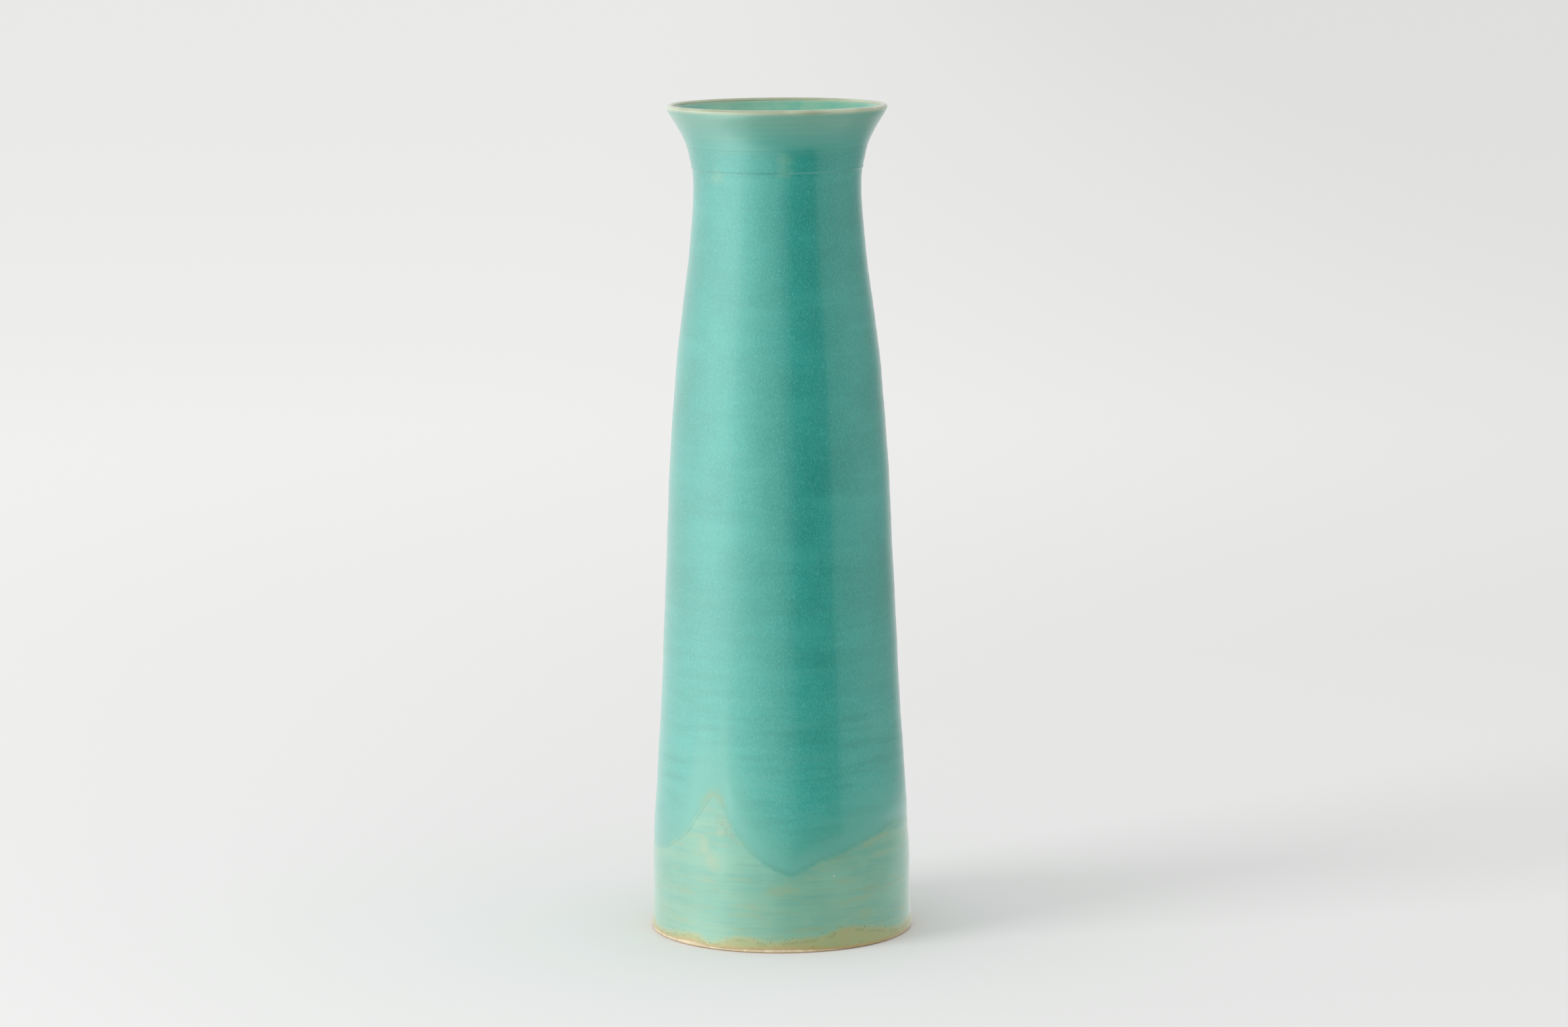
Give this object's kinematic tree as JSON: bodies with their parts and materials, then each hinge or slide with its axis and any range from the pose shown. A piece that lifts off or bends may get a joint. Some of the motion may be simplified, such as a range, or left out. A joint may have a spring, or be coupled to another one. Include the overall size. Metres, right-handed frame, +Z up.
{
  "type": "stoneware vase",
  "caption": "Tall tapering stoneware vase with a flared neck and rounded lip, hollow inside, standing on a turned foot ring, under layered blue-green glazes.",
  "frame": {"origin": "centre of the foot ring, on the surface the vase stands on", "axes": "+Z up along the axis the vase was thrown on; -Y is the front, where the blue-green glaze edge peaks left of the middle; +X is to the right of the front"},
  "size_m": [0.1428, 0.1428, 0.45],
  "materials": {
    "stoneware_clay": "unglazed, fired buff stoneware, fine grog, matte",
    "joining_slip": "fired slip of the same clay, matte",
    "olive_wash": "thin translucent amber-olive glaze with brown flecks, satin",
    "sea_green_glaze": "pale milky sea-green glaze, satin gloss, breaking cream at the lip",
    "blue_green_glaze": "blue-green glaze with fine vertical grain and small specks, satin gloss",
    "lining_green_glaze": "smooth pale blue-green lining glaze, gloss"
  },
  "bodies": {
    "root": {"base_section": "stoneware_clay", "waist_slip": "joining_slip", "upper_section": "stoneware_clay", "neck_slip": "joining_slip", "collar": "stoneware_clay", "foot_wash": "olive_wash", "first_coat": "sea_green_glaze", "main_coat": "blue_green_glaze", "lining_glaze": "lining_green_glaze"}
  },
  "joints": []
}
